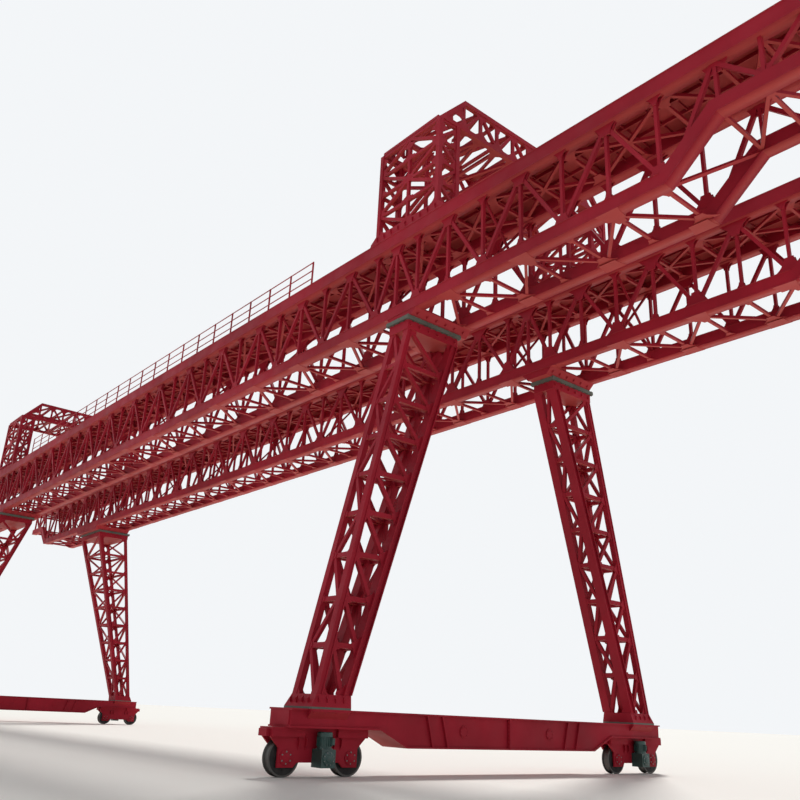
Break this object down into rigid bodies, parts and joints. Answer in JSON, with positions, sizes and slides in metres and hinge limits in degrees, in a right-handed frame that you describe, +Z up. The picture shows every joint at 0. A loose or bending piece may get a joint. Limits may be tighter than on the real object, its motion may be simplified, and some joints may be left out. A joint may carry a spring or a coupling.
{
  "type": "scale model of a twin-girder lattice gantry crane",
  "caption": "Red 1:2 scale model gantry crane: lattice girders with raised ends on splayed lattice legs, portals over the legs, and sill beams on wheeled bogies.",
  "frame": {"origin": "centre of the crane at the level that its wheels stand on", "axes": "+X along the girders, +Y along the ground rails, +Z up"},
  "size_m": [36.245, 8.4, 11.14],
  "materials": {
    "red_paint": "satin red crane paint over welded steel, a little dusty",
    "bare_flange": "grey-green primer on machined joint flanges",
    "rail_steel": "rolled rail steel, bright on the head",
    "wheel_steel": "dark forged steel wheels, worn brighter on the treads",
    "drive_green": "dark green machine enamel on motors and gear units"
  },
  "bodies": {
    "root": {"front_top_chords": "red_paint", "front_low_chords": "red_paint", "front_outer_truss": "red_paint", "front_inner_truss": "red_paint", "front_low_bracing": "red_paint", "front_top_bracing": "red_paint", "front_deck": "red_paint", "rear_top_chords": "red_paint", "rear_low_chords": "red_paint", "rear_outer_truss": "red_paint", "rear_inner_truss": "red_paint", "rear_low_bracing": "red_paint", "rear_top_bracing": "red_paint", "rear_deck": "red_paint", "handrails": "red_paint", "trolley_rails": "rail_steel", "left_portal_towers": "red_paint", "left_portal_beam": "red_paint", "right_portal_towers": "red_paint", "right_portal_beam": "red_paint", "left_front_leg": "red_paint", "left_front_leg_bracing": "red_paint", "left_rear_leg": "red_paint", "left_rear_leg_bracing": "red_paint", "right_front_leg": "red_paint", "right_front_leg_bracing": "red_paint", "right_rear_leg": "red_paint", "right_rear_leg_bracing": "red_paint", "leg_brackets": "red_paint", "leg_joints": "bare_flange", "left_sill": "red_paint", "right_sill": "red_paint", "left_front_bogie": "red_paint", "left_rear_bogie": "red_paint", "right_front_bogie": "red_paint", "right_rear_bogie": "red_paint", "travel_drives": "drive_green"},
    "left_front_outer_wheel": {"left_front_outer_wheel": "wheel_steel"},
    "left_front_inner_wheel": {"left_front_inner_wheel": "wheel_steel"},
    "left_rear_inner_wheel": {"left_rear_inner_wheel": "wheel_steel"},
    "left_rear_outer_wheel": {"left_rear_outer_wheel": "wheel_steel"},
    "right_front_outer_wheel": {"right_front_outer_wheel": "wheel_steel"},
    "right_front_inner_wheel": {"right_front_inner_wheel": "wheel_steel"},
    "right_rear_inner_wheel": {"right_rear_inner_wheel": "wheel_steel"},
    "right_rear_outer_wheel": {"right_rear_outer_wheel": "wheel_steel"}
  },
  "joints": [
    {"name": "left_front_outer_spin", "type": "hinge", "parent": "root", "child": "left_front_outer_wheel", "pos_m": [-11.2825, -3.9, 0.23], "axis": [1, 0, 0], "continuous": true},
    {"name": "left_front_inner_spin", "type": "hinge", "parent": "root", "child": "left_front_inner_wheel", "pos_m": [-11.2825, -2.9, 0.23], "axis": [1, 0, 0], "continuous": true},
    {"name": "left_rear_inner_spin", "type": "hinge", "parent": "root", "child": "left_rear_inner_wheel", "pos_m": [-11.2825, 2.9, 0.23], "axis": [1, 0, 0], "continuous": true},
    {"name": "left_rear_outer_spin", "type": "hinge", "parent": "root", "child": "left_rear_outer_wheel", "pos_m": [-11.2825, 3.9, 0.23], "axis": [1, 0, 0], "continuous": true},
    {"name": "right_front_outer_spin", "type": "hinge", "parent": "root", "child": "right_front_outer_wheel", "pos_m": [11.2825, -3.9, 0.23], "axis": [1, 0, 0], "continuous": true},
    {"name": "right_front_inner_spin", "type": "hinge", "parent": "root", "child": "right_front_inner_wheel", "pos_m": [11.2825, -2.9, 0.23], "axis": [1, 0, 0], "continuous": true},
    {"name": "right_rear_inner_spin", "type": "hinge", "parent": "root", "child": "right_rear_inner_wheel", "pos_m": [11.2825, 2.9, 0.23], "axis": [1, 0, 0], "continuous": true},
    {"name": "right_rear_outer_spin", "type": "hinge", "parent": "root", "child": "right_rear_outer_wheel", "pos_m": [11.2825, 3.9, 0.23], "axis": [1, 0, 0], "continuous": true}
  ]
}
